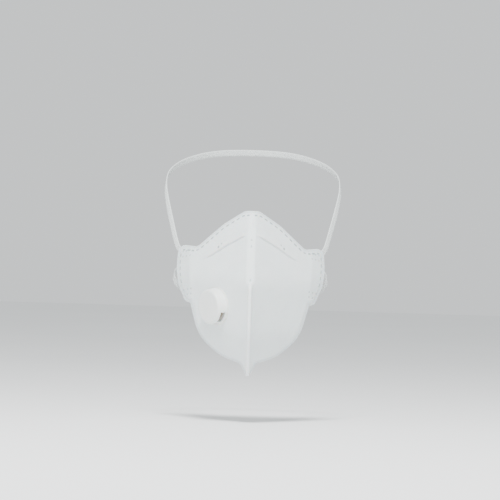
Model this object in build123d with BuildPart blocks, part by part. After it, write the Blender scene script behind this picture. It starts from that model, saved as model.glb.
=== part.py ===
"""Vertical-fold disposable dust mask with an exhalation valve, in millimetres.

The mask faces -Y and +Z is up. The origin is the middle of the face opening, on the symmetry plane.
Left is -X and right is +X, as seen from the front. Each half is a panel that runs back from the
upright seam in the plane x = 0: its surface is y = seam(z) + SLANT * |x|.
"""

from build123d import *
from math import hypot, pi, radians, tan
import os

os.makedirs("parts", exist_ok=True)

# ---- body, as worn
HALF_WIDTH = 67.2  # from the seam to the side of a tab
TOP_Z = 73.6  # top edge over the nose
CHIN_Z = -73.8  # end of the chin tab
FRONT_Y = -82.0  # corner of the seam's front, before it is rounded
FRONT_Z = 10.0
NOSE_Y = -42.4  # seam at the top edge
BROW_Y = -60.0  # where the seam turns back over the nose
BROW_Z = 50.0
LIP_Y = -75.2  # where the seam turns back under the lips
LIP_Z = -37.0
CHIN_Y = -52.5  # seam at the end of the chin tab
SLANT = 1.25  # how far a panel runs back for each millimetre sideways
TAB_TOP_Z = 42.0
TAB_BOTTOM_Z = -10.8
NOTCH_X = 48.0  # where the top edge meets the tab
NOTCH_Z = 40.2
CHEEK_X = 54.0  # where the lower edge leaves the tab
KNEE_X = 25.5  # bend of the top edge
KNEE_Z = 61.0
NOSE_X = 6.5  # half the flat of the top edge
CHIN_TAB_X = 7.5  # half the chin tab's root
CHIN_ROOT_Z = -62.8

# The seam, seen from the side as (y, z), from the top edge to the chin
SEAM = [(NOSE_Y, TOP_Z), (BROW_Y, BROW_Z), (FRONT_Y, FRONT_Z), (LIP_Y, LIP_Z), (CHIN_Y, CHIN_Z)]
SEAM_RADII = [60, 25, 40]

# The right half, seen from the front as (x, z), from the nose round the tab to the chin
OUTLINE = [
    (0, TOP_Z),
    (NOSE_X, TOP_Z),
    (KNEE_X, KNEE_Z),
    (NOTCH_X, NOTCH_Z),
    (HALF_WIDTH - 1.6, TAB_TOP_Z),
    (HALF_WIDTH, 22),
    (HALF_WIDTH - 1.9, 6.5),
    (HALF_WIDTH - 8.6, TAB_BOTTOM_Z + 0.2),
    (CHEEK_X, TAB_BOTTOM_Z - 0.2),
    (45.8, -40),
    (25, -57.6),
    (CHIN_TAB_X, CHIN_ROOT_Z),
    (1.7, CHIN_Z),
    (0, CHIN_Z),
]
OUTLINE_RADII = [8, 40, 5, 5.5, 60, 20, 4, 1.5, 40, 45, 5, 0]

# ---- layers from the outside in, each measured along Y, which is 1.6 times its thickness
LAYER_GAP = 0.08
COVER_DEEP = 0.55
SUPPORT_DEEP = 1.8
FILTER_DEEP = 0.56
LINING_DEEP = 0.5

# ---- raised seam flange of the outer cover, below the break of the front line
FLANGE_HALF = 0.9
FLANGE_PROUD = 3.0
FLANGE_TOP = 6.0
FLANGE_ROOT = 0.5

# ---- nose clip and foam: strips that run below the top edge; widths are seen from the front
CLIP_DROP = 13.2
CLIP_REACH = 28.5
CLIP_WIDTH = 3.3
CLIP_DEEP = 1.28
CLIP_FIT = 0.5
FOAM_DROP = 12.0
FOAM_REACH = 27.0
FOAM_WIDTH = 8.0
FOAM_DEEP = 4.8

# ---- exhalation valve, on the left panel
VALVE_X = -29.0
VALVE_Z = -12.5
NECK_R = 12.7
NECK_WALL = 1.4
NECK_FIT = 0.3
SEAT_LIP = 4.3  # how far the seat's flange reaches past the neck
SEAT_THICK = 1.2
RIM_WALL = 0.8
RIM_HIGH = 0.8
BAR_WIDE = 1.6
BAR_THICK = 1.4
HUB_R = 2.2
CAP_STEP = 0.6  # seat flange showing round the cap
CAP_DRAFT = 1.2  # how much narrower the cap is at its top
CAP_HIGH = 9.0
CAP_WALL = 1.1
CAP_ROUND = 2.4
WINDOW_ANGLES = (-39, -90, -141)
WINDOW_SPAN = 42
WINDOW_LOW = 1.4
WINDOW_HIGH = 4.8
FLAP_LAP = 0.8  # how far the flap reaches past the sealing rim
FLAP_THICK = 0.5
FLAP_GAP = 0.03
FLAP_TAB_WIDE = 12.0
FLAP_TAB_LONG = 1.5  # flap beyond the pegs
PEG_X = 4.0
PEG_R = 0.8
PEG_OUT = 0.5  # pegs' middles outside the rim
PEG_FIT = 0.3
PEG_HIGH = 1.9
RIB_GAP = 0.1
RIB_THICK = 1.4
RING_WALL = 1.85
RING_THICK = 1.5
RING_FIT = 0.05
RING_GAP = 0.1

# ---- headbands: flat elastic 6 by 0.8, as a plain tube of the same section; each route runs from the
# middle of the back round to inside the left tab
BAND_R = 1.24
UPPER_ROUTE = [
    (0, 154, 130),
    (-19, 152, 129.5),
    (-44, 140, 126.5),
    (-66, 115, 118.5),
    (-77.5, 82, 107),
    (-79.2, 50, 92),
    (-66.8, 23.6, 38),
    (-57.5, 10.4, 33),
]
LOWER_ROUTE = [
    (0, 129.5, 29),
    (-16, 128, 28.7),
    (-38, 118, 26.5),
    (-58, 97, 22.5),
    (-69, 67, 17),
    (-70.5, 36, 11),
    (-64.8, 8.4, 4.2),
    (-56, -3.0, -0.5),
]


def layer_spans(*depths):
    """Where each layer starts and ends behind the front, with a gap between layers."""
    spans = []
    start = 0
    for depth in depths:
        spans.append((start, start + depth))
        start += depth + LAYER_GAP
    return spans


COVER, SUPPORT, FILTER_OUTER, FILTER_INNER, LINING = layer_spans(
    COVER_DEEP, SUPPORT_DEEP, FILTER_DEEP, FILTER_DEEP, LINING_DEEP
)
PANEL_STRETCH = hypot(1, SLANT)  # length along a panel for each millimetre sideways
PANEL_REACH = (HALF_WIDTH + 10) * PANEL_STRETCH
CUT_DEPTH = 2 * (HALF_WIDTH * SLANT - FRONT_Y)


def draw_layer(span):
    """Side view of a layer: the seam's line moved back to both ends of the span."""
    with BuildLine() as border:
        front = FilletPolyline(*[(y + span[0], z) for y, z in SEAM], radius=SEAM_RADII)
        back = FilletPolyline(*[(y + span[1], z) for y, z in SEAM], radius=SEAM_RADII)
        Line(front @ 0, back @ 0)
        Line(front @ 1, back @ 1)
    make_face(border.edges())


def draw_outline(side):
    """Front view of one half."""
    points = [(side * x, z) for x, z in OUTLINE]
    with BuildLine() as border:
        FilletPolyline(*points, radius=OUTLINE_RADII)
        Line(points[-1], points[0])
    make_face(border.edges())


def top_edge_z(x):
    """Height of the top edge's straight runs at x, carried on across the nose."""
    start, end = ((NOSE_X, TOP_Z), (KNEE_X, KNEE_Z))
    if x > KNEE_X:
        start, end = ((KNEE_X, KNEE_Z), (NOTCH_X, NOTCH_Z))
    return start[1] + (end[1] - start[1]) * (x - start[0]) / (end[0] - start[0])


def draw_strip(drop, reach, width):
    """Front view of a strip with round ends that runs below the top edge, across the nose."""
    right = [(x, top_edge_z(x) - drop) for x in (reach, reach * 2 / 3, reach / 9)]
    points = right + [(-x, z) for x, z in reversed(right)]
    with BuildLine() as middle:
        Polyline(*points)
    trace(middle.edges(), line_width=width)
    with Locations(*points):
        Circle(width / 2)


def half_layer(side, span):
    """One layer of one half, cut to the outline."""
    with BuildPart() as layer:
        with BuildSketch(Plane.YZ):
            draw_layer(span)
        extrude(amount=PANEL_REACH, dir=(side, SLANT, 0))
        with BuildSketch(Plane.XZ):
            draw_outline(side)
        extrude(amount=CUT_DEPTH, both=True, mode=Mode.INTERSECT)
        if side < 0:
            with BuildSketch(VALVE_PLANE):
                Circle(NECK_R + NECK_FIT)
            extrude(amount=LINING[1], both=True, mode=Mode.SUBTRACT)
    return layer


def nose_strip(drop, reach, width, span):
    """A strip of both panels' shape, across the nose."""
    with BuildPart() as strip:
        for side in (-1, 1):
            with BuildSketch(Plane.YZ):
                draw_layer(span)
            extrude(amount=PANEL_REACH, dir=(side, SLANT, 0))
        with BuildSketch(Plane.XZ):
            draw_strip(drop, reach, width)
        extrude(amount=CUT_DEPTH, both=True, mode=Mode.INTERSECT)
    return strip


def arc_radii(points):
    """For each corner: 0.45 of its shorter run over the tangent of half its turn."""
    radii = []
    for before, corner, after in zip(points, points[1:], points[2:]):
        run_in = Vector(*corner) - Vector(*before)
        run_out = Vector(*after) - Vector(*corner)
        half_turn = radians(run_in.get_angle(run_out)) / 2
        radii.append(0.45 * min(run_in.length, run_out.length) / tan(half_turn))
    return radii


def save(name, piece):
    """Label a finished piece and write its STEP file."""
    piece.part.label = name
    export_step(piece.part, f"parts/{name}.step")


# The valve sits on the flat stretch of the left panel, between the seam's front and lip corners
VALVE_SLOPE = (LIP_Y - FRONT_Y) / (LIP_Z - FRONT_Z)
VALVE_Y = FRONT_Y + VALVE_SLOPE * (VALVE_Z - FRONT_Z) + SLANT * abs(VALVE_X)
VALVE_PLANE = Plane(
    origin=(VALVE_X, VALVE_Y, VALVE_Z),
    x_dir=(1, -SLANT, 0),
    z_dir=(-SLANT, -1, VALVE_SLOPE),
)
STACK_THICK = LINING[1] / hypot(PANEL_STRETCH, VALVE_SLOPE)
SIDES = ((-1, "left"), (1, "right"))

# ---- outer cover: spunbond skin with half of the raised seam flange
for side, hand in SIDES:
    skin = half_layer(side, COVER)
    with BuildPart() as outer_cover:
        with BuildSketch(Plane.YZ):
            draw_layer((-FLANGE_PROUD, FLANGE_ROOT))
        extrude(amount=FLANGE_HALF * PANEL_STRETCH, dir=(side, SLANT, 0))
        with BuildSketch(Plane.XZ):
            draw_outline(side)
        extrude(amount=CUT_DEPTH, both=True, mode=Mode.INTERSECT)
        split(bisect_by=Plane.XY.offset(FLANGE_TOP), keep=Keep.BOTTOM)
        add(skin.part)
    save(f"outer_cover_{hand}", outer_cover)

# ---- support layer: the thick layer, with a window that holds the nose clip
for side, hand in SIDES:
    sheet = half_layer(side, SUPPORT)
    with BuildPart() as support_layer:
        add(sheet.part)
        with BuildSketch(Plane.XZ):
            draw_strip(CLIP_DROP, CLIP_REACH, CLIP_WIDTH + 2 * CLIP_FIT)
        extrude(amount=CUT_DEPTH, both=True, mode=Mode.SUBTRACT)
    save(f"support_layer_{hand}", support_layer)

# ---- two melt-blown filters and the lining
for name, span in (
    ("filter_outer", FILTER_OUTER),
    ("filter_inner", FILTER_INNER),
    ("inner_lining", LINING),
):
    for side, hand in SIDES:
        save(f"{name}_{hand}", half_layer(side, span))

# ---- aluminium nose clip, in the support layer's window, and the foam on the lining
CLIP_FRONT = (SUPPORT[0] + SUPPORT[1] - CLIP_DEEP) / 2
FOAM_FRONT = LINING[1] + LAYER_GAP
nose_clip = nose_strip(CLIP_DROP, CLIP_REACH, CLIP_WIDTH, (CLIP_FRONT, CLIP_FRONT + CLIP_DEEP))
nose_foam = nose_strip(FOAM_DROP, FOAM_REACH, FOAM_WIDTH, (FOAM_FRONT, FOAM_FRONT + FOAM_DEEP))
save("nose_clip", nose_clip)
save("nose_foam", nose_foam)

# ---- valve seat: flange, neck through the fabric, sealing rim, cross bars and the flap's pegs
SEAT_R = NECK_R + SEAT_LIP
BORE_R = NECK_R - NECK_WALL
NECK_LONG = STACK_THICK + RING_GAP + RING_THICK
RIM_TOP = SEAT_THICK + RIM_HIGH
PEG_Y = BORE_R + PEG_OUT
PEGS = [(-PEG_X, PEG_Y), (PEG_X, PEG_Y)]

with BuildPart() as valve_seat:
    with BuildSketch(VALVE_PLANE):
        Circle(SEAT_R)
    extrude(amount=SEAT_THICK)
    with BuildSketch(VALVE_PLANE):
        Circle(NECK_R)
    extrude(amount=-NECK_LONG)
    with BuildSketch(VALVE_PLANE.offset(SEAT_THICK)):
        Circle(BORE_R)
    extrude(amount=RIM_HIGH)
    with BuildSketch(VALVE_PLANE):
        Circle(BORE_R)
    extrude(amount=-NECK_LONG, mode=Mode.SUBTRACT)
    with BuildSketch(VALVE_PLANE):
        Circle(BORE_R - RIM_WALL)
    extrude(amount=RIM_TOP, mode=Mode.SUBTRACT)
    with BuildSketch(VALVE_PLANE.offset(SEAT_THICK - BAR_THICK)):
        Rectangle(2 * BORE_R, BAR_WIDE)
        Rectangle(BAR_WIDE, 2 * BORE_R)
        Circle(HUB_R)
    extrude(amount=BAR_THICK)
    with BuildSketch(VALVE_PLANE.offset(SEAT_THICK)):
        with Locations(*PEGS):
            Circle(PEG_R)
    extrude(amount=PEG_HIGH)
save("valve_seat", valve_seat)

# ---- valve flap: a rubber disc with a tab that hangs on the two pegs
FLAP_TAB_END = PEG_Y + FLAP_TAB_LONG

with BuildPart() as valve_flap:
    with BuildSketch(VALVE_PLANE.offset(RIM_TOP + FLAP_GAP)):
        Circle(BORE_R + FLAP_LAP)
        with Locations((0, FLAP_TAB_END / 2)):
            Rectangle(FLAP_TAB_WIDE, FLAP_TAB_END)
        with Locations(*PEGS):
            Circle(PEG_R + PEG_FIT, mode=Mode.SUBTRACT)
    extrude(amount=FLAP_THICK)
save("valve_flap", valve_flap)

# ---- valve cap: round shell with outlet windows round its lower side and a rib over the pegs
CAP_R = SEAT_R - CAP_STEP
CAP_TOP_R = CAP_R - CAP_DRAFT
CAP_TOP = SEAT_THICK + CAP_HIGH
RIB_BOTTOM = SEAT_THICK + PEG_HIGH + RIB_GAP

with BuildPart() as valve_cap:
    with BuildSketch(VALVE_PLANE.offset(SEAT_THICK)):
        Circle(CAP_R)
    with BuildSketch(VALVE_PLANE.offset(CAP_TOP)):
        Circle(CAP_TOP_R)
    loft(ruled=True)
    with BuildSketch(VALVE_PLANE.offset(SEAT_THICK)):
        Circle(CAP_R - CAP_WALL)
    with BuildSketch(VALVE_PLANE.offset(CAP_TOP - CAP_WALL)):
        Circle(CAP_TOP_R - CAP_WALL)
    loft(ruled=True, mode=Mode.SUBTRACT)
    with BuildSketch(VALVE_PLANE.offset(RIB_BOTTOM)):
        with Locations((0, PEG_Y)):
            Rectangle(FLAP_TAB_WIDE, RIB_THICK)
    extrude(amount=CAP_TOP - CAP_WALL - RIB_BOTTOM)
    outwards = Axis(VALVE_PLANE.origin, VALVE_PLANE.z_dir)
    fillet(valve_cap.edges().filter_by(GeomType.CIRCLE).sort_by(outwards)[-1], CAP_ROUND)
    for angle in WINDOW_ANGLES:
        with BuildSketch(VALVE_PLANE.offset(SEAT_THICK + WINDOW_LOW)):
            with BuildLine():
                first = PolarLine((0, 0), SEAT_R, angle - WINDOW_SPAN / 2)
                last = PolarLine((0, 0), SEAT_R, angle + WINDOW_SPAN / 2)
                RadiusArc(first @ 1, last @ 1, -SEAT_R)
            make_face()
            Circle(CAP_TOP_R - 2 * CAP_WALL, mode=Mode.SUBTRACT)
        extrude(amount=WINDOW_HIGH, mode=Mode.SUBTRACT)
save("valve_cap", valve_cap)

# ---- valve ring: clamps the layers against the seat from inside
with BuildPart() as valve_ring:
    with BuildSketch(VALVE_PLANE.offset(-STACK_THICK - RING_GAP)):
        Circle(NECK_R + RING_FIT + RING_WALL)
        Circle(NECK_R + RING_FIT, mode=Mode.SUBTRACT)
    extrude(amount=-RING_THICK)
save("valve_ring", valve_ring)

# ---- headbands: half of each is swept from the middle of the back, and mirrored
for name, route in (("upper_headband", UPPER_ROUTE), ("lower_headband", LOWER_ROUTE)):
    with BuildPart() as headband:
        with BuildLine() as path:
            FilletPolyline(*route, radius=arc_radii(route))
        with BuildSketch(Plane(origin=route[0], z_dir=path.line % 0)):
            Circle(BAND_R)
        sweep()
        mirror(about=Plane.YZ)
    save(name, headband)
    length = 2 * path.wires()[0].length
    print(name, "radii", [round(radius, 1) for radius in arc_radii(route)])
    print(name, "length", round(length, 1), "volume", round(headband.part.volume, 1))
    print(name, "section times length", round(pi * BAND_R**2 * length, 1))
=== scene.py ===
"""Looks of the vertical-fold dust mask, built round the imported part, in metres.

Shapes are worked out in millimetres in the part's frame: the mask faces -Y, +Z is up, left is -X.
Front-view points are (x, z) on the right half, which the left half mirrors. Flat points are on the
pattern that the half unrolls to.
"""

import bpy
import numpy as np
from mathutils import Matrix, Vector, noise
from mathutils.geometry import delaunay_2d_cdt


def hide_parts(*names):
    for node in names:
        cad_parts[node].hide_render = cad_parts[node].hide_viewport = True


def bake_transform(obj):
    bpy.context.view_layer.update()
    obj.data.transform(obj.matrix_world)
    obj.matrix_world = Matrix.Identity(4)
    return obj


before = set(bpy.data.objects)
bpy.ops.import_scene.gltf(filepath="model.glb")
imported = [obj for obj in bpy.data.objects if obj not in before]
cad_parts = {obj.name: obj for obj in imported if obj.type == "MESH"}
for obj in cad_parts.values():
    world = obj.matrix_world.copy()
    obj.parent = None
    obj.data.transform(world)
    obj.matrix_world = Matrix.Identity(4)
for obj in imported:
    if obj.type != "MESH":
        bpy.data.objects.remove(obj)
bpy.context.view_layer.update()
MM = 0.001

# ---- the part's own values, in millimetres
SLANT = 1.25  # how far a panel runs back for each millimetre sideways
STRETCH = (1 + SLANT**2) ** 0.5
SEAM = [(-42.4, 73.6), (-60, 50), (-82, 10), (-75.2, -37), (-52.5, -73.8)]  # (y, z)
SEAM_RADII = [60, 25, 40]
EDGE_CORNERS = [(6.5, 73.6), (25.5, 61), (48, 40.2)]  # of the top edge, (x, z)

# ---- the outline, a little inside the part's, in front-view points
TOP_Z = 72.8
CHIN_Z = -73.3
OUTLINE = [
    (0, TOP_Z),
    (6.3, TOP_Z),
    (25.2, 60.6),
    (48.3, 39.8),
    (65.3, 41.4),
    (67.0, 22),
    (65.1, 6.6),
    (58.0, -9.8),
    (53.4, -10.3),
    (45.2, -39.8),
    (24.6, -57.2),
    (6.9, -62.4),
    (1.5, CHIN_Z),
    (0, CHIN_Z),
]
OUTLINE_RADII = [8, 40, 5, 7, 60, 20, 4.5, 1.5, 40, 45, 5, 0]

# ---- where each layer starts and ends behind the front, along Y
COVER, SUPPORT, FILTER_OUTER, FILTER_INNER, LINING = (
    (0, 0.55),
    (0.63, 2.43),
    (2.51, 3.07),
    (3.15, 3.71),
    (3.79, 4.29),
)
STACK = LINING[1]
CLIP = (0.89, 2.17)
FOAM = (4.37, 9.17)
PRESSED_DEPTH = (1.0, 1.25)  # pressed border: where the stack starts, and how thick it is

# ---- nose clip and foam: distance below the top edge, reach to each side, and width
CLIP_DROP, CLIP_REACH, CLIP_WIDTH = 13.2, 28.5, 3.2
FOAM_DROP, FOAM_REACH, FOAM_WIDTH = 12.0, 27.0, 8.0
WINDOW_HALF = 2.3  # half width of the clip's window

# ---- valve
VALVE_SLOPE = 6.8 / -47
VALVE_AT = np.array([-29.0, -82 + VALVE_SLOPE * -22.5 + SLANT * 29, -12.5])
VALVE_OUT = np.array([-SLANT, -1, VALVE_SLOPE])
VALVE_OUT /= np.linalg.norm(VALVE_OUT)
VALVE_X = np.array([1, -SLANT, 0]) / STRETCH
VALVE_UP = np.cross(VALVE_OUT, VALVE_X)
HOLE_R = 13.0
HOLE_SIDES = 72

# ---- headbands: each route runs from near the middle of the back to inside the left tab
UPPER_ROUTE = [
    (-19, 152, 129.5),
    (-44, 140, 126.5),
    (-66.5, 115, 118.5),
    (-78.2, 84, 108),
    (-80.1, 57, 98.5),
    (-79.3, 46, 86),
    (-69.2, 27.6, 46),
    (-65.6, 21.0, 36.5),
    (-57.5, 10.4, 33),
]
LOWER_ROUTE = [
    (-16, 128, 28.7),
    (-38, 118, 26.5),
    (-58, 97, 22.5),
    (-69, 67, 17),
    (-70.5, 36, 11),
    (-64.8, 8.4, 4.2),
    (-56, -3.0, -0.5),
]
HEAD = np.array([0.0, 62.0, 60.0])  # middle of the head that the bands lie on
HEAD_RADII = np.array([78.0, 95.0, 130.0])
BAND_WIDE = 6.0
BAND_SECTION = [  # across and out, once round
    (-3.0, -0.22),
    (-3.0, 0.22),
    (-2.75, 0.4),
    (-1.4, 0.4),
    (0, 0.4),
    (1.4, 0.4),
    (2.75, 0.4),
    (3.0, 0.22),
    (3.0, -0.22),
    (2.75, -0.4),
    (1.4, -0.4),
    (0, -0.4),
    (-1.4, -0.4),
    (-2.75, -0.4),
]
BAND_STEP = 1.2
BAND_TURN = (45, 105)  # from a tab's slant to the head's side, along the band
BAND_TUCK = 1.5  # how far the ends are pulled against the panel
BAND_TUCK_RUN = (3, 20)

# ---- details of the fabric
FLANGE_PROUD = 3.0
FLANGE_EDGE = (1.35, 2.1)
FLANGE_END = (4.0, 9.0)
RIDGE_HIGH = 1.9
VALLEY_DEEP = 0.6
SWELL = 0.45
SWELL_SIZE = 17.0
SWELL_SEEDS = {-1: 8.7, 1: 3.1}  # left and right
BACK_SHARE = 0.14  # how far pressed places push the cover's back, as a share of their depth
LINING_SHARE = 0.5  # how deep pressed places are in the lining, as a share of the cover's
SEAM_SPOTS = (46.8, 41.4, 11.5)  # heights of the weld spots on the seam


def smooth(low, high, value):
    """0 below low, 1 above high, and a smooth step between."""
    t = np.clip((np.asarray(value, float) - low) / (high - low), 0, 1)
    return t * t * (3 - 2 * t)


def lerp(a, b, t):
    """Part of the way from a to b."""
    return a + (b - a) * t


def stations(line):
    """Distance along a polyline at each of its points."""
    return np.concatenate([[0], np.cumsum(np.linalg.norm(np.diff(line, axis=0), axis=1))])


def places_on(line, along):
    """Points of a polyline at the given distances along it."""
    return np.column_stack([np.interp(along, stations(line), values) for values in line.T])


def headings(line):
    """Unit direction of a polyline at each of its points."""
    way = np.gradient(line, axis=0)
    return way / np.linalg.norm(way, axis=1)[:, None]


def left_of(way):
    """Directions turned a quarter turn to the left."""
    return np.column_stack([-way[:, 1], way[:, 0]])


def evened(line, rounds):
    """A polyline with its bends evened out and its ends kept."""
    for _ in range(rounds):
        line[1:-1] = (line[:-2] + 2 * line[1:-1] + line[2:]) / 4
    return line


def rounded(points, radii, step):
    """A polyline with its corners rounded, sampled about every step."""
    out = [np.array(points[0], float)]
    for before, corner, after, radius in zip(points, points[1:], points[2:], radii):
        before, corner, after = (np.array(p, float) for p in (before, corner, after))
        into, away = corner - before, after - corner
        into /= np.linalg.norm(into)
        away /= np.linalg.norm(away)
        half = np.arccos(np.clip(into @ away, -1, 1)) / 2
        reach = radius * np.tan(half)
        if reach < 1e-6:
            out.append(corner)
            continue
        start, end = corner - into * reach, corner + away * reach
        inward = away - into
        centre = corner + inward / np.linalg.norm(inward) * radius / np.cos(half)
        for t in np.linspace(0, 1, max(3, int(2 * half * radius / step) + 2)):
            chord = lerp(start, end, t) - centre
            out.append(centre + chord / np.linalg.norm(chord) * radius)
    out.append(np.array(points[-1], float))
    dense = [out[0]]
    for point in out[1:]:
        gap = np.linalg.norm(point - dense[-1])
        if gap < 0.02:
            continue
        parts = max(1, int(round(gap / step)))
        dense += [lerp(dense[-1], point, (i + 1) / parts) for i in range(parts)]
    return np.array(dense)


# ---- the panel's surface and its flat pattern
seam_line = rounded(SEAM, SEAM_RADII, 0.4)[::-1]


def seam_y(z):
    """Y of the seam's front at a height."""
    return np.interp(z, seam_line[:, 1], seam_line[:, 0])


levels = np.linspace(-76, 76, 3041)
slopes = np.gradient(seam_y(levels), levels)
steps = np.hypot(1, slopes[1:] / STRETCH) * np.diff(levels)
lengths = np.concatenate([[0], np.cumsum(steps)])


def flat_of(points):
    """Flat pattern of front-view points (x, z), in millimetres."""
    x, z = points[:, 0], points[:, 1]
    return np.column_stack(
        [STRETCH * x + SLANT / STRETCH * seam_y(z), np.interp(z, levels, lengths)]
    )


def front_of(flat):
    """Front-view points (x, z) of points on the flat pattern."""
    z = np.interp(flat[:, 1], lengths, levels)
    return np.column_stack([(flat[:, 0] - SLANT / STRETCH * seam_y(z)) / STRETCH, z])


def corner_profile(wide, turn, lift):
    """How far a panel has run back at each distance from the seam, where the seam is a flat band."""
    x = np.linspace(0, PROFILE_REACH, 1201)
    turned = lift + (1 - lift) * smooth(wide, wide + turn, x)
    rate = np.where(x < wide, lift * x / wide, turned)
    run = np.concatenate([[0], np.cumsum((rate[1:] + rate[:-1]) / 2 * np.diff(x))])
    return x, run + x[-1] - run[-1]


PROFILE_REACH = 12
BREAK_PROFILE = corner_profile(3.1, 1.3, 0.34)
NOSE_PROFILE = corner_profile(2.4, 3.0, 0.5)
EDGE_PROFILE = corner_profile(0.5, 1.0, 0.2)


def run_back(x, z):
    """Distance that the panel runs back at x, from the rounded corner at the seam."""
    at_break, at_nose, at_edge = (
        np.where(x < PROFILE_REACH, np.interp(x, *profile), x)
        for profile in (BREAK_PROFILE, NOSE_PROFILE, EDGE_PROFILE)
    )
    upper = lerp(at_break, at_nose, smooth(55, 61, z))
    return lerp(at_edge, upper, smooth(7.0, 10.5, z))


outline = rounded(OUTLINE, OUTLINE_RADII, 1.1)
outline_flat = flat_of(outline)
seam_side = np.array([(0.0, z) for z in np.linspace(CHIN_Z, TOP_Z, 124)[1:-1]])


def distance_to(points, line):
    """Distance of each point to a polyline, and how far along the line the nearest place is."""
    starts, runs = line[:-1], np.diff(line, axis=0)
    long = np.linalg.norm(runs, axis=1)
    best, where = np.full(len(points), 1e9), np.zeros(len(points))
    for start, run, size, along in zip(starts, runs, long, stations(line)):
        t = np.clip((points - start) @ run / size**2, 0, 1)
        gap = np.linalg.norm(points - start - t[:, None] * run, axis=1)
        nearer = gap < best
        best[nearer] = gap[nearer]
        where[nearer] = along + t[nearer] * size
    return best, where


def offset_line(line, inset):
    """A polyline moved to its right by a distance, and evened out."""
    way = headings(line)
    moved = line - left_of(way) * inset
    keep = [moved[0]]
    for point, heading in zip(moved[1:], way[1:]):
        if (point - keep[-1]) @ heading > 0.3:
            keep.append(point)
    return evened(np.array(keep), 6)


def part_of(line, first, last):
    """The run of a flat line between the points nearest to two front-view points."""
    ends = flat_of(np.array([first, last], float))
    start, stop = (np.argmin(np.linalg.norm(line - end, axis=1)) for end in ends)
    return line[start : stop + 1]


# ---- weld rows: (line on the flat pattern, pitch, dash, half width, depth)
top_edge = part_of(outline_flat, (0, TOP_Z), (62.5, 41.2))
tab_side = part_of(outline_flat, (66.3, 33), (64.2, 4.5))
ROWS = [
    (offset_line(top_edge, 4.4), 6.6, 3.7, 0.6, 0.5),
    (offset_line(tab_side, 4.4), 6.6, 3.7, 0.5, 0.35),
]
DOTS = [  # front-view (x, z), radius, depth
    ((29.3, 39.9), 1.15, 0.5),
    ((26.6, 43.0), 0.8, 0.25),
    ((55.0, 36.4), 0.75, 0.3),
    ((58.2, 35.6), 0.75, 0.3),
    ((61.4, 34.8), 0.75, 0.3),
    ((55.0, 31.8), 0.75, 0.3),
    ((58.2, 31.0), 0.75, 0.3),
    ((61.4, 30.2), 0.75, 0.3),
    ((53.0, 2.0), 0.75, 0.3),
    ((56.2, 1.2), 0.75, 0.3),
    ((59.4, 0.4), 0.75, 0.3),
    ((53.0, -2.6), 0.75, 0.3),
    ((56.2, -3.4), 0.75, 0.3),
]
dots_flat = flat_of(np.array([d[0] for d in DOTS], float))
CREASE = np.array([(3.5, 51.5), (8, 50.0), (21, 42.8), (36, 32.6), (44, 27.5)], float)
crease_flat = flat_of(rounded(CREASE, [10, 60, 60], 1.0))
CLIP_LINE = np.array([(6.5, 60.4), (25.5, 47.8), (28.5, 45.0)], float)
clip_flat = flat_of(CLIP_LINE)


def dashes(along, pitch, dash):
    """1 on a dash, 0 between dashes, with soft ends."""
    place = (along % pitch) - pitch / 2
    return 1 - smooth(dash / 2 - 0.35, dash / 2 + 0.35, np.abs(place))


def relief(x, z, flat, outside):
    """How far a face stands out along Y from the smooth panel, on the outside face or the inside."""
    up = np.zeros(len(x))
    for line, pitch, dash, half, depth in ROWS:
        gap, along = distance_to(flat, line)
        up -= depth * dashes(along, pitch, dash) * (1 - smooth(half - 0.2, half + 0.45, gap))
        up += 0.12 * np.exp(-(((gap - 1.4) / 0.7) ** 2))
    for place, (_, radius, depth) in zip(dots_flat, DOTS):
        gap = np.linalg.norm(flat - place, axis=1)
        up -= depth * (1 - smooth(radius - 0.25, radius + 0.4, gap))
    gap, along = distance_to(flat, crease_flat)
    middle = crease_flat[1:-1]
    nearest = np.argmin(np.linalg.norm(flat[:, None] - middle[None], axis=2), axis=1)
    way = np.gradient(crease_flat, axis=0)[1:-1][nearest]
    off = flat - middle[nearest]
    across = gap * np.sign(way[:, 0] * off[:, 1] - way[:, 1] * off[:, 0])
    total = stations(crease_flat)[-1]
    fade = smooth(0, 9, along) * (1 - smooth(total - 14, total, along)) * smooth(0.5, 4.0, x)
    ridge = RIDGE_HIGH * np.exp(-(((across - 0.5) / np.where(across > 0.5, 2.4, 0.8)) ** 2))
    up += (ridge - VALLEY_DEEP * np.exp(-((across + 1.6) ** 2))) * fade
    if outside:
        gap, _ = distance_to(flat, clip_flat)
        up += 0.3 * (1 - smooth(1.6, 3.6, gap)) * smooth(0, 3, x)
        for spot in SEAM_SPOTS:
            up -= 0.4 * (1 - smooth(0.6, 1.3, np.hypot(x, z - spot)))
    return up


def ripple(points, size, seed):
    """Gentle unevenness of hand-sized cloth, in -1 to 1."""
    return np.array([noise.noise(Vector((p[0] / size, p[1] / size, seed))) for p in points])


def inside(points, loop):
    """Whether each point is inside a closed loop."""
    hits = np.zeros(len(points), bool)
    for a, b in zip(loop, np.roll(loop, -1, axis=0)):
        spans = (a[1] > points[:, 1]) != (b[1] > points[:, 1])
        if spans.any():
            crossing = a[0] + (points[:, 1] - a[1]) * (b[0] - a[0]) / (b[1] - a[1] + 1e-12)
            hits ^= spans & (points[:, 0] < crossing)
    return hits


def from_valve(x, z):
    """Distance from the valve's middle of front-view points, on the mirrored panel."""
    return np.linalg.norm(np.column_stack([-x, seam_y(z) + SLANT * x, z]) - VALVE_AT, axis=1)


def circle(count):
    """Points of a unit circle."""
    turns = np.linspace(0, 2 * np.pi, count, endpoint=False)
    return np.column_stack([np.cos(turns), np.sin(turns)])


def hole_ring(radius):
    """Front-view points, on the mirrored panel, of a circle round the valve's axis."""
    across, up = circle(HOLE_SIDES).T[:, :, None]
    ring = VALVE_AT + radius * (across * VALVE_X + up * VALVE_UP)
    return np.column_stack([-ring[:, 0], ring[:, 2]])


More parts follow.
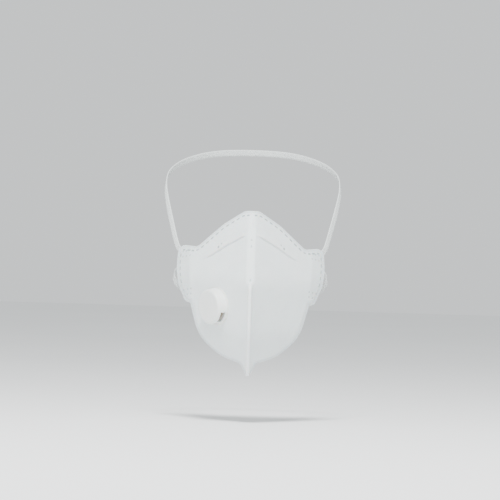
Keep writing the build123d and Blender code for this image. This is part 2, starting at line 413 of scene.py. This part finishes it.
def beside(line, start, step, offsets):
    """Front-view rows of points along a flat line, one row for each offset to its left."""
    middle = places_on(line, np.arange(start, stations(line)[-1], step))
    left = left_of(headings(middle))
    return [front_of(middle + offset * left) for offset in offsets]


def detail_points():
    """Groups of front-view points that the welds and the crease need."""
    groups = []
    for row in ROWS:
        groups += beside(row[0], 0.2, 0.55, (-1.1, -0.75, -0.4, 0, 0.4, 0.75, 1.1))
    ring = circle(12)
    for place, (_, radius, _) in zip(dots_flat, DOTS):
        groups.append(front_of(place + 0.001 * ring[:1]))
        for reach in (radius * 0.5, radius - 0.1, radius + 0.35, radius + 0.8):
            groups.append(front_of(place + reach * ring))
    return groups + beside(crease_flat, 0, 1.0, np.arange(-3.2, 4.6, 0.42))


def cells_of(points, size):
    """Numbers of the points in each square cell."""
    cells = {}
    for i, key in enumerate(map(tuple, np.floor(points / size).astype(int))):
        cells.setdefault(key, []).append(i)
    return cells


def crowded(points, others, gap):
    """Whether each point has another within gap, or near an earlier kept one of its own group."""
    near = np.zeros(len(points), bool)
    cells, own = cells_of(others, gap), {}
    around = [(dx, dy) for dx in (-1, 0, 1) for dy in (-1, 0, 1)]
    for i, key in enumerate(map(tuple, np.floor(points / gap).astype(int))):
        places = [(key[0] + dx, key[1] + dy) for dx, dy in around]
        rivals = [(others[j], gap) for place in places for j in cells.get(place, ())]
        rivals += [(points[j], gap * 0.75) for place in places for j in own.get(place, ())]
        near[i] = any(np.hypot(*(rival - points[i])) < limit for rival, limit in rivals)
        if not near[i]:
            own.setdefault(key, []).append(i)
    return near


# ---- how closely a layer is meshed
FINE = {
    "insets": (0.5, 1.1, 1.8, 2.6, 3.4, 4.3),  # of the rings, from the outline
    "columns": (0.45, 0.9, 1.3, 1.5, 1.75, 2.05, 2.5, 3.1, 3.5, 3.9, 4.4, 5.2, 6.0),  # from the seam
    "column_step": 1.2,
    "grid": (0.95, 1.45),
    "gaps": (0.4, 0.22, 0.8),  # least distance to earlier points, for rings, columns and grid
    "rim": 0.22,  # least distance to the outline
}
COARSE = {
    "insets": (1.2, 2.6, 4.3),
    "columns": (1.0, 2.4, 3.6, 5.0),
    "column_step": 2.4,
    "grid": (2.2, 3.2),
    "gaps": (0.9, 1.2, 2.0),
    "rim": 0.6,
}


def layout(hole, fine):
    """Front-view points and triangles of one half, with the valve's hole or whole."""
    kind = FINE if fine else COARSE
    loop = np.vstack([outline, seam_side])
    count = len(loop)
    rings = [front_of(offset_line(outline_flat, inset)) for inset in kind["insets"]]
    columns = [
        np.array([(x, z) for z in np.arange(-73, 73, kind["column_step"])]) for x in kind["columns"]
    ]
    step_x, step_z = kind["grid"]
    grid = np.array(
        [
            (x + (row % 2) * step_x / 2, z)
            for row, z in enumerate(np.arange(-73, 74, step_z))
            for x in np.arange(6.8, 68, step_x)
        ]
    )
    picked = np.vstack([loop, hole_ring(HOLE_R)]) if hole else loop
    flat_picked = flat_of(picked)
    ring_gap, column_gap, grid_gap = kind["gaps"]
    groups = [(hole_ring(HOLE_R + wider), 0.4) for wider in (0.7, 1.6) if hole]
    groups += [(group, 0.28) for group in (detail_points() if fine else ())]
    groups += [(ring, ring_gap) for ring in rings]
    groups += [(column, column_gap) for column in columns]
    groups += [(grid, grid_gap)]
    for group, gap in groups:
        group = group[inside(group, loop)]
        far, _ = distance_to(flat_of(group), outline_flat)
        group = group[(far > kind["rim"]) & (group[:, 0] > 0.2)]
        if hole:
            group = group[from_valve(group[:, 0], group[:, 1]) > HOLE_R + 0.25]
        group = group[~crowded(flat_of(group), flat_picked, gap)]
        picked = np.vstack([picked, group])
        flat_picked = np.vstack([flat_picked, flat_of(group)])
    edges = [(i, (i + 1) % count) for i in range(count)]
    if hole:
        edges += [(count + i, count + (i + 1) % HOLE_SIDES) for i in range(HOLE_SIDES)]
    verts, _, faces, *_ = delaunay_2d_cdt([Vector(p) for p in picked], edges, [], 0, 1e-6)
    points = np.array([(v[0], v[1]) for v in verts])
    faces = np.array([f for f in faces if len(f) == 3])
    middle = points[faces].mean(axis=1)
    keep = inside(middle, loop)
    if hole:
        keep &= ~inside(middle, hole_ring(HOLE_R))
    return points, faces[keep]


def boundary_edges(faces):
    """Directed edges on the border of a triangle mesh."""
    edges = np.concatenate([faces[:, [0, 1]], faces[:, [1, 2]], faces[:, [2, 0]]])
    seen = {tuple(e) for e in edges}
    return [e for e in seen if (e[1], e[0]) not in seen]


def new_mesh(name, points, faces):
    """A smooth-shaded object from points in millimetres."""
    mesh = bpy.data.meshes.new(name)
    corners = [tuple(p) for p in np.asarray(points) * MM]
    mesh.from_pydata(corners, [], [tuple(int(i) for i in f) for f in faces])
    mesh.validate()
    mesh.update()
    for polygon in mesh.polygons:
        polygon.use_smooth = True
    # the halves meet flush at the seam, so its rims don't round the shading
    for edge in mesh.edges:
        if all(abs(mesh.vertices[i].co.x) < 1e-7 for i in edge.vertices):
            edge.use_edge_sharp = True
    piece = bpy.data.objects.new(name, mesh)
    bpy.context.scene.collection.objects.link(piece)
    return piece


def stack_depth(depth, edge_gap):
    """Depth behind the smooth front of a place in the stack, which is pressed thin at its border."""
    start, thick = PRESSED_DEPTH
    pressed = start + depth / STACK * thick
    return lerp(pressed, depth, smooth(2.2, 4.6, edge_gap))


def layer(name, side, span, plan, front_relief=0, back_relief=0):
    """A closed sheet for one layer of one half."""
    points, faces = plan
    x, z = points.T
    flat = flat_of(points)
    edge_gap, _ = distance_to(flat, outline_flat)
    base = seam_y(z) + SLANT * run_back(x, z)
    swell = SWELL * ripple(flat, SWELL_SIZE, SWELL_SEEDS[side])
    swell = swell * smooth(3, 14, edge_gap) * smooth(1.5, 10, x)
    strip_gap, _ = distance_to(points, CLIP_LINE)
    swell *= smooth(7, 13, strip_gap)
    if side < 0:
        swell *= smooth(18, 28, from_valve(x, z))
    front = base + swell + stack_depth(span[0], edge_gap) - front_relief
    back = base + swell + stack_depth(span[1], edge_gap)
    back = back - np.minimum(front_relief, 0) * BACK_SHARE - back_relief
    outer = np.column_stack([side * x, front, z])
    inner = np.column_stack([side * x, back, z])
    count = len(points)
    turned = faces if side > 0 else faces[:, ::-1]
    a, b, c = outer[turned[0]]
    if np.cross(b - a, c - a)[1] > 0:
        turned = turned[:, ::-1]
    rim = []
    for a, b in boundary_edges(turned):
        rim += [(b, a, a + count), (b, a + count, b + count)]
    all_faces = list(map(tuple, turned)) + [tuple(f[::-1] + count) for f in turned] + rim
    return new_mesh(name, np.vstack([outer, inner]), all_faces)


def mark_pressed(piece, points, flat):
    """Writes how strongly each place is welded or pressed, how much the tabs are darkened, and a
    painted highlight, for the cloth's material.
    """
    edge_gap, _ = distance_to(flat, outline_flat)
    amount = 0.3 * (1 - smooth(1.2, 3.2, edge_gap))
    # the tabs are made somewhat darker, fading out between 15 and 18.5 mm in from their side
    side_gap, _ = distance_to(flat, tab_side)
    amount = np.maximum(amount, 0.26 * (1 - smooth(15.0, 18.5, side_gap)))
    for line, pitch, dash, half, _ in ROWS:
        gap, along = distance_to(flat, line)
        welded = dashes(along, pitch, dash) * (1 - smooth(half - 0.1, half + 0.4, gap))
        amount = np.maximum(amount, welded)
    for place, (_, radius, depth) in zip(dots_flat, DOTS):
        gap = np.linalg.norm(flat - place, axis=1)
        welded = (0.5 + depth) * (1 - smooth(radius - 0.1, radius + 0.4, gap))
        amount = np.maximum(amount, welded)
    for spot in SEAM_SPOTS:
        gap = np.hypot(points[:, 0], points[:, 1] - spot)
        amount = np.maximum(amount, 0.7 * (1 - smooth(0.5, 1.2, gap)))
    # painted highlight: the seam's rib below the flange's end and a thin band along the outline's edge
    # are made lighter, in place of the light they catch
    painted_highlight = (1 - smooth(1.6, 2.2, points[:, 0])) * (1 - smooth(*FLANGE_END, points[:, 1]))
    painted_highlight = np.maximum(painted_highlight, 0.4 * (1 - smooth(0.3, 0.9, edge_gap)))
    for name, values in (("pressed", amount), ("highlight_paint", painted_highlight)):
        attribute = piece.data.attributes.new(name, "FLOAT", "POINT")
        attribute.data.foreach_set("value", np.tile(values, 2).astype(np.float32))


def surface_y(x, z, depth):
    """Y of places at a depth behind the panel's smooth front, away from its border."""
    return seam_y(z) + SLANT * run_back(np.abs(x), z) + depth


# ---- materials
def material(name, colour, rough, **more):
    """A principled material and its node tree."""
    made = bpy.data.materials.new(name)
    made.use_nodes = True
    nodes, links = made.node_tree.nodes, made.node_tree.links
    shader = nodes["Principled BSDF"]
    shader.inputs["Base Color"].default_value = (*colour, 1)
    shader.inputs["Roughness"].default_value = rough
    for socket, value in more.items():
        shader.inputs[socket.replace("_", " ")].default_value = value
    place = nodes.new("ShaderNodeTexCoord")
    return made, nodes, links, shader, place


def textured(nodes, kind, scale, place, links, **settings):
    """A procedural texture node in object space."""
    node = nodes.new(f"ShaderNodeTex{kind}")
    node.inputs["Scale"].default_value = scale
    for key, value in settings.items():
        if key in node.inputs:
            node.inputs[key].default_value = value
        else:
            setattr(node, key, value)
    links.new(place.outputs["Object"], node.inputs["Vector"])
    return node


def graded(nodes, links, source, low, high, at=(0.3, 0.7)):
    """A colour ramp on a node's factor."""
    ramp = nodes.new("ShaderNodeValToRGB")
    ramp.color_ramp.elements[0].position, ramp.color_ramp.elements[1].position = at
    ramp.color_ramp.elements[0].color = (*low, 1)
    ramp.color_ramp.elements[1].color = (*high, 1)
    links.new(source, ramp.inputs["Fac"])
    return ramp.outputs["Color"]


def bumped(nodes, links, shader, heights, distance):
    """Bump from several (height socket, strength) pairs, one after the other."""
    last = None
    for height, strength in heights:
        bump = nodes.new("ShaderNodeBump")
        bump.inputs["Strength"].default_value = strength
        bump.inputs["Distance"].default_value = distance
        links.new(height, bump.inputs["Height"])
        if last is not None:
            links.new(last, bump.inputs["Normal"])
        last = bump.outputs["Normal"]
    links.new(last, shader.inputs["Normal"])


def nonwoven(name, low, high, fibre, bonds, rough):
    """Nonwoven cloth: matted fibres, with the small pressed points that bond them."""
    made, nodes, links, shader, place = material(name, high, rough)
    shader.inputs["Sheen Weight"].default_value = 0.25
    shader.inputs["Sheen Roughness"].default_value = 0.45
    shader.inputs["Subsurface Weight"].default_value = 0.12
    shader.inputs["Subsurface Scale"].default_value = 0.004
    shader.inputs["Specular IOR Level"].default_value = 0.25
    cloud = textured(nodes, "Noise", 60, place, links, Detail=6.0, Roughness=0.65)
    pressed = nodes.new("ShaderNodeAttribute")
    pressed.attribute_name = "pressed"
    weld = nodes.new("ShaderNodeMix")
    weld.data_type = "RGBA"
    weld.inputs["B"].default_value = (low[0] * 0.5, low[1] * 0.53, low[2] * 0.53, 1)
    links.new(pressed.outputs["Fac"], weld.inputs["Factor"])
    points = textured(nodes, "Voronoi", bonds, place, links, Randomness=0.25)
    strands = textured(
        nodes, "Noise", fibre, place, links, Detail=8.0, Roughness=0.75, Distortion=1.6
    )
    bond = nodes.new("ShaderNodeMapRange")
    bond.inputs["From Min"].default_value = 0.14
    bond.inputs["From Max"].default_value = 0.34
    links.new(points.outputs["Distance"], bond.inputs["Value"])
    fuzzy = nodes.new("ShaderNodeMath")
    fuzzy.operation = "MULTIPLY_ADD"
    fuzzy.inputs[1].default_value = 0.30
    links.new(bond.outputs["Result"], fuzzy.inputs[0])
    links.new(cloud.outputs["Fac"], fuzzy.inputs[2])
    matted = nodes.new("ShaderNodeMath")
    matted.operation = "MULTIPLY_ADD"
    matted.inputs[1].default_value = 0.35
    links.new(strands.outputs["Fac"], matted.inputs[0])
    links.new(fuzzy.outputs[0], matted.inputs[2])
    links.new(graded(nodes, links, matted.outputs[0], low, high, (0.45, 1.0)), weld.inputs["A"])
    # painted highlight: the cloth's colour is mixed towards a lighter white on the seam's rib and the
    # outline's edge
    highlight_paint = nodes.new("ShaderNodeAttribute")
    highlight_paint.attribute_name = "highlight_paint"
    edge = nodes.new("ShaderNodeMix")
    edge.data_type = "RGBA"
    edge.inputs["B"].default_value = (0.90, 0.92, 0.915, 1)
    links.new(highlight_paint.outputs["Fac"], edge.inputs["Factor"])
    links.new(weld.outputs["Result"], edge.inputs["A"])
    links.new(edge.outputs["Result"], shader.inputs["Base Color"])
    waves = textured(nodes, "Noise", 130, place, links, Detail=3.0)
    heights = [
        (waves.outputs["Fac"], 0.22),
        (bond.outputs["Result"], 0.35),
        (strands.outputs["Fac"], 0.45),
    ]
    bumped(nodes, links, shader, heights, 0.0005)
    return made


def plastic(name, low, high, rough):
    """Moulded plastic: satin, with fine texture and slight cloudiness."""
    made, nodes, links, shader, place = material(name, high, rough)
    shader.inputs["Subsurface Weight"].default_value = 0.1
    shader.inputs["Subsurface Scale"].default_value = 0.003
    cloud = textured(nodes, "Noise", 45, place, links, Detail=4.0)
    links.new(graded(nodes, links, cloud.outputs["Fac"], low, high), shader.inputs["Base Color"])
    grain = textured(nodes, "Noise", 1900, place, links, Detail=4.0)
    soft = textured(nodes, "Noise", 90, place, links, Detail=2.0)
    rougher = nodes.new("ShaderNodeMapRange")
    rougher.inputs["To Min"].default_value = rough - 0.07
    rougher.inputs["To Max"].default_value = rough + 0.09
    links.new(soft.outputs["Fac"], rougher.inputs["Value"])
    links.new(rougher.outputs["Result"], shader.inputs["Roughness"])
    heights = [(soft.outputs["Fac"], 0.06), (grain.outputs["Fac"], 0.10)]
    bumped(nodes, links, shader, heights, 0.0003)
    return made


def knitted(name, low, high):
    """Knitted flat elastic: ribs along it crossed by fine courses, on the ribbon's own map."""
    made, nodes, links, shader, place = material(name, high, 0.7)
    shader.inputs["Sheen Weight"].default_value = 0.35
    split = nodes.new("ShaderNodeSeparateXYZ")
    links.new(place.outputs["UV"], split.inputs["Vector"])
    waves = []
    for axis, count in (("X", 6.2832 * 9), ("Y", 6.2832 * 0.9)):
        scaled = nodes.new("ShaderNodeMath")
        scaled.operation = "MULTIPLY"
        scaled.inputs[1].default_value = count
        links.new(split.outputs[axis], scaled.inputs[0])
        wave = nodes.new("ShaderNodeMath")
        wave.operation = "SINE"
        links.new(scaled.outputs[0], wave.inputs[0])
        waves.append(wave.outputs[0])
    both = nodes.new("ShaderNodeMath")
    both.operation = "MULTIPLY_ADD"
    both.inputs[1].default_value = 0.45
    links.new(waves[1], both.inputs[0])
    links.new(waves[0], both.inputs[2])
    level = nodes.new("ShaderNodeMapRange")
    level.inputs["From Min"].default_value = -1.45
    level.inputs["From Max"].default_value = 1.45
    links.new(both.outputs[0], level.inputs["Value"])
    colour = graded(nodes, links, level.outputs["Result"], low, high, (0.1, 0.75))
    links.new(colour, shader.inputs["Base Color"])
    fuzz = textured(nodes, "Noise", 2200, place, links, Detail=5.0)
    heights = [(level.outputs["Result"], 0.8), (fuzz.outputs["Fac"], 0.25)]
    bumped(nodes, links, shader, heights, 0.0004)
    return made


outer_fabric = nonwoven("outer_fabric", (0.74, 0.765, 0.76), (0.85, 0.87, 0.865), 1100, 720, 0.86)
support_fabric = nonwoven("support_fabric", (0.74, 0.76, 0.75), (0.82, 0.83, 0.82), 500, 260, 0.92)
filter_fabric = nonwoven("filter_fabric", (0.80, 0.81, 0.82), (0.86, 0.87, 0.88), 1500, 900, 0.8)
lining_fabric = nonwoven("lining_fabric", (0.78, 0.79, 0.78), (0.85, 0.86, 0.85), 1000, 700, 0.88)
cap_plastic = plastic("valve_plastic", (0.80, 0.82, 0.80), (0.86, 0.88, 0.86), 0.36)
seat_plastic = plastic("seat_plastic", (0.74, 0.745, 0.70), (0.81, 0.81, 0.765), 0.42)
flap_rubber = plastic("flap_rubber", (0.50, 0.43, 0.30), (0.60, 0.52, 0.38), 0.5)
elastic = knitted("elastic", (0.62, 0.66, 0.65), (0.80, 0.84, 0.83))

clip_metal, nodes, links, shader, place = material("clip_metal", (0.72, 0.73, 0.74), 0.35, Metallic=1.0)
brush = textured(nodes, "Noise", 900, place, links, Detail=6.0)
colour = graded(nodes, links, brush.outputs["Fac"], (0.6, 0.61, 0.62), (0.8, 0.81, 0.82))
links.new(colour, shader.inputs["Base Color"])
bumped(nodes, links, shader, [(brush.outputs["Fac"], 0.2)], 0.0002)

foam, nodes, links, shader, place = material("foam", (0.28, 0.30, 0.31), 0.95)
cells = textured(nodes, "Voronoi", 1500, place, links)
colour = graded(
    nodes, links, cells.outputs["Distance"], (0.16, 0.17, 0.18), (0.42, 0.44, 0.45), (0.1, 0.6)
)
links.new(colour, shader.inputs["Base Color"])
bumped(nodes, links, shader, [(cells.outputs["Distance"], 0.9)], 0.0006)


def finish(piece, made):
    """Gives a piece its material."""
    piece.data.materials.clear()
    piece.data.materials.append(made)


def strip_line(drop, reach):
    """Front-view line of a strip that runs below the top edge, from the seam out."""

    def top(x):
        start, end = EDGE_CORNERS[:2] if x <= EDGE_CORNERS[1][0] else EDGE_CORNERS[1:]
        return start[1] + (end[1] - start[1]) * (x - start[0]) / (end[0] - start[0])

    xs = (reach / 9, reach * 2 / 3, reach)
    return np.array([(0, top(xs[0]) - drop)] + [(x, top(x) - drop) for x in xs], float)


def with_window(plan):
    """A layout with the nose clip's window cut out."""
    points, faces = plan
    gap, _ = distance_to(points[faces].mean(axis=1), strip_line(CLIP_DROP, CLIP_REACH))
    return points, faces[gap > WINDOW_HALF]


def bend(piece):
    """Bakes a piece's transform into its mesh."""
    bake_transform(piece)


LAYERS = (  # name, span, material, slot, whether it is finely meshed
    ("outer_cover", COVER, outer_fabric, "outer_fabric", True),
    ("support_layer", SUPPORT, support_fabric, "support_fabric", False),
    ("filter_outer", FILTER_OUTER, filter_fabric, "filter_fabric", False),
    ("filter_inner", FILTER_INNER, filter_fabric, "filter_fabric", False),
    ("inner_lining", LINING, lining_fabric, "lining_fabric", True),
)

for side, hand in ((-1, "left"), (1, "right")):
    plans = {fine: layout(side < 0, fine) for fine in (True, False)}
    x, z = plans[True][0].T
    flat = flat_of(plans[True][0])
    flange = FLANGE_PROUD * (1 - smooth(*FLANGE_EDGE, x)) * (1 - smooth(*FLANGE_END, z))
    raised = relief(x, z, flat, True) + flange
    pits = -LINING_SHARE * np.minimum(relief(x, z, flat, False), 0)
    for name, span, made, slot, fine in LAYERS:
        plan = with_window(plans[fine]) if name == "support_layer" else plans[fine]
        front = raised if name == "outer_cover" else 0
        back = pits if name == "inner_lining" else 0
        piece = layer(f"{name}_{hand}_cloth", side, span, plan, front, back)
        if fine:
            mark_pressed(piece, plan[0], flat)
        finish(piece, made)
        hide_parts(f"{name}_{hand}")
        bend(piece)


# ---- nose clip and foam
def tube_faces(count, loops, turned):
    """Faces of a capped tube made of loops rows of count points, turned inside out or not."""
    faces = []
    for row in range(loops):
        for i in range(count - 1):
            a, b = row * count + i, (row + 1) % loops * count + i
            faces.append((a, b, b + 1, a + 1) if turned else (a, a + 1, b + 1, b))
    near = tuple(row * count for row in range(loops))
    far = tuple(place + count - 1 for place in near)
    return faces + ([near[::-1], far] if turned else [near, far[::-1]])


def strip(name, line, width, span, crown, step):
    """A strip that follows a front-view line across the nose: rounded ends and a crowned back."""
    path = np.vstack([line[::-1] * (-1, 1), line[1:]])
    length = stations(path)[-1]
    along = np.linspace(0, length, int(length / step) + 1)
    middle = evened(places_on(path, along), 8)
    left = left_of(headings(middle))
    end_gap = np.minimum(along, length - along)
    round_end = np.sqrt(np.clip(1 - np.clip(1 - end_gap / (width / 2), 0, 1) ** 2, 0.02, 1))
    rim = lerp(*span, crown)
    faces = ([], [])
    for across in np.linspace(-1, 1, 9):
        at = middle + left * (across * width / 2 * round_end)[:, None]
        crest = (1 - abs(across) ** 3) * round_end
        depths = (span[0] + 0.12 * (1 - crest), lerp(rim, span[1], crest))
        for rows, depth in zip(faces, depths):
            rows.append(np.column_stack([at[:, 0], surface_y(*at.T, depth), at[:, 1]]))
    rows = faces[0] + faces[1][::-1]
    return new_mesh(name, np.vstack(rows), tube_faces(len(middle), len(rows), False))


clip = strip("nose_clip_strip", strip_line(CLIP_DROP, CLIP_REACH), CLIP_WIDTH, CLIP, 0.85, 0.9)
finish(clip, clip_metal)
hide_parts("nose_clip")
bend(clip)
pad = strip("nose_foam_pad", strip_line(FOAM_DROP, FOAM_REACH), FOAM_WIDTH, FOAM, 0.35, 0.8)
finish(pad, foam)
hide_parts("nose_foam")
bend(pad)


# ---- headbands: flat knitted elastic laid round a head
def unit(vectors):
    """Vectors made one long."""
    return vectors / np.linalg.norm(vectors, axis=1)[:, None]


def spline_line(name, route):
    """Points of the smooth line of a route and its mirror image."""
    whole = route[::-1] + [(-x, y, z) for x, y, z in route]
    curve = bpy.data.curves.new(name + "_path", "CURVE")
    curve.dimensions = "3D"
    curve.resolution_u = 24
    spline = curve.splines.new("NURBS")
    spline.points.add(len(whole) - 1)
    for place, (x, y, z) in zip(spline.points, whole):
        place.co = (x * MM, y * MM, z * MM, 1)
    spline.order_u = 3
    spline.use_endpoint_u = True
    holder = bpy.data.objects.new(name + "_path", curve)
    bpy.context.scene.collection.objects.link(holder)
    bpy.context.view_layer.update()
    traced = bpy.data.meshes.new_from_object(holder)
    line = np.array([v.co for v in traced.vertices], float) / MM
    bpy.data.objects.remove(holder)
    bpy.data.meshes.remove(traced)
    keep = [0]
    for i in range(1, len(line)):
        if np.linalg.norm(line[i] - line[keep[-1]]) > 0.05:
            keep.append(i)
    return line[keep]


def headband(name, route):
    """A flat band along a route: in line with the panels at its ends, and on the head elsewhere."""
    line = spline_line(name, route)
    length = stations(line)[-1]
    along = np.linspace(0, length, int(length / BAND_STEP) + 1)
    middle = places_on(line, along)
    way = headings(middle)
    off_head = (middle - HEAD) / HEAD_RADII**2
    off_head[:, 0] = np.where(np.abs(middle[:, 0]) > 1, off_head[:, 0], 0)
    off_head = unit(off_head)
    count = len(middle)
    panel = np.column_stack([np.sign(middle[:, 0]) * SLANT, -np.ones(count), np.zeros(count)])
    panel = panel / STRETCH
    end_gap = np.minimum(along, length - along)
    at_end = (1 - smooth(*BAND_TURN, end_gap))[:, None]
    out = off_head * (1 - at_end) + panel * at_end
    out = unit(out - way * (out * way).sum(axis=1)[:, None])
    for _ in range(10):
        out[1:-1] = out[:-2] + 2 * out[1:-1] + out[2:]
        out = unit(out)
    over = np.cross(way, out)
    pulled = middle + panel * (BAND_TUCK * (1 - smooth(*BAND_TUCK_RUN, end_gap)))[:, None]
    points = np.vstack([pulled + over * a + out * b for a, b in BAND_SECTION])
    piece = new_mesh(name + "_elastic", points, tube_faces(count, len(BAND_SECTION), True))
    uv = piece.data.uv_layers.new(name="UVMap")
    for loop in piece.data.loops:
        row, i = divmod(loop.vertex_index, count)
        uv.data[loop.index].uv = (BAND_SECTION[row][0] / BAND_WIDE + 0.5, along[i])
    finish(piece, elastic)
    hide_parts(name)
    bend(piece)


headband("upper_headband", UPPER_ROUTE)
headband("lower_headband", LOWER_ROUTE)

# ---- valve, kept from the part
for node, made in (
    ("valve_cap", cap_plastic),
    ("valve_seat", seat_plastic),
    ("valve_ring", seat_plastic),
    ("valve_flap", flap_rubber),
):
    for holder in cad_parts[node].material_slots:
        holder.material = made

# ---- floor, light and camera
FLOOR_Z = -116
FLOOR_HALF = 6000
floor = new_mesh(
    "floor",
    [(x * FLOOR_HALF, y * FLOOR_HALF, FLOOR_Z) for x, y in ((-1, -1), (1, -1), (1, 1), (-1, 1))],
    [(0, 1, 2, 3)],
)
pale, nodes, links, shader, place = material("floor_pale", (0.88, 0.89, 0.89), 0.8)
cloud = textured(nodes, "Noise", 2, place, links)
colour = graded(nodes, links, cloud.outputs["Fac"], (0.87, 0.88, 0.88), (0.89, 0.90, 0.90))
links.new(colour, shader.inputs["Base Color"])
floor.data.materials.append(pale)

world = bpy.data.worlds.new("surroundings")
world.use_nodes = True
sky = world.node_tree.nodes["Background"]
sky.inputs["Color"].default_value = (0.93, 0.96, 0.97, 1)
sky.inputs["Strength"].default_value = 1.0
bpy.context.scene.world = world


def lamp(name, place, size, power, colour):
    """A round soft light that faces the object."""
    light = bpy.data.lights.new(name, "AREA")
    light.shape = "DISK"
    light.size = size
    light.energy = power
    light.color = colour
    holder = bpy.data.objects.new(name, light)
    holder.location = place
    holder.rotation_euler = (-Vector(place)).to_track_quat("-Z", "Y").to_euler()
    bpy.context.scene.collection.objects.link(holder)


lamp("key", (-0.05, -1.1, 1.7), 0.6, 86, (1, 1, 1))
lamp("fill", (-0.9, -2.2, 0.2), 1.0, 16, (0.98, 0.99, 1))

CAMERA_AT = (-0.0011, -3.125, 0.0381)
CAMERA_ROLL = -0.030
camera = bpy.data.cameras.new("camera")
camera.lens = 250
camera.sensor_width = 36
camera.clip_end = 50
holder = bpy.data.objects.new("camera", camera)
holder.location = CAMERA_AT
holder.rotation_euler = (np.pi / 2, CAMERA_ROLL, 0)
bpy.context.scene.collection.objects.link(holder)
bpy.context.scene.camera = holder
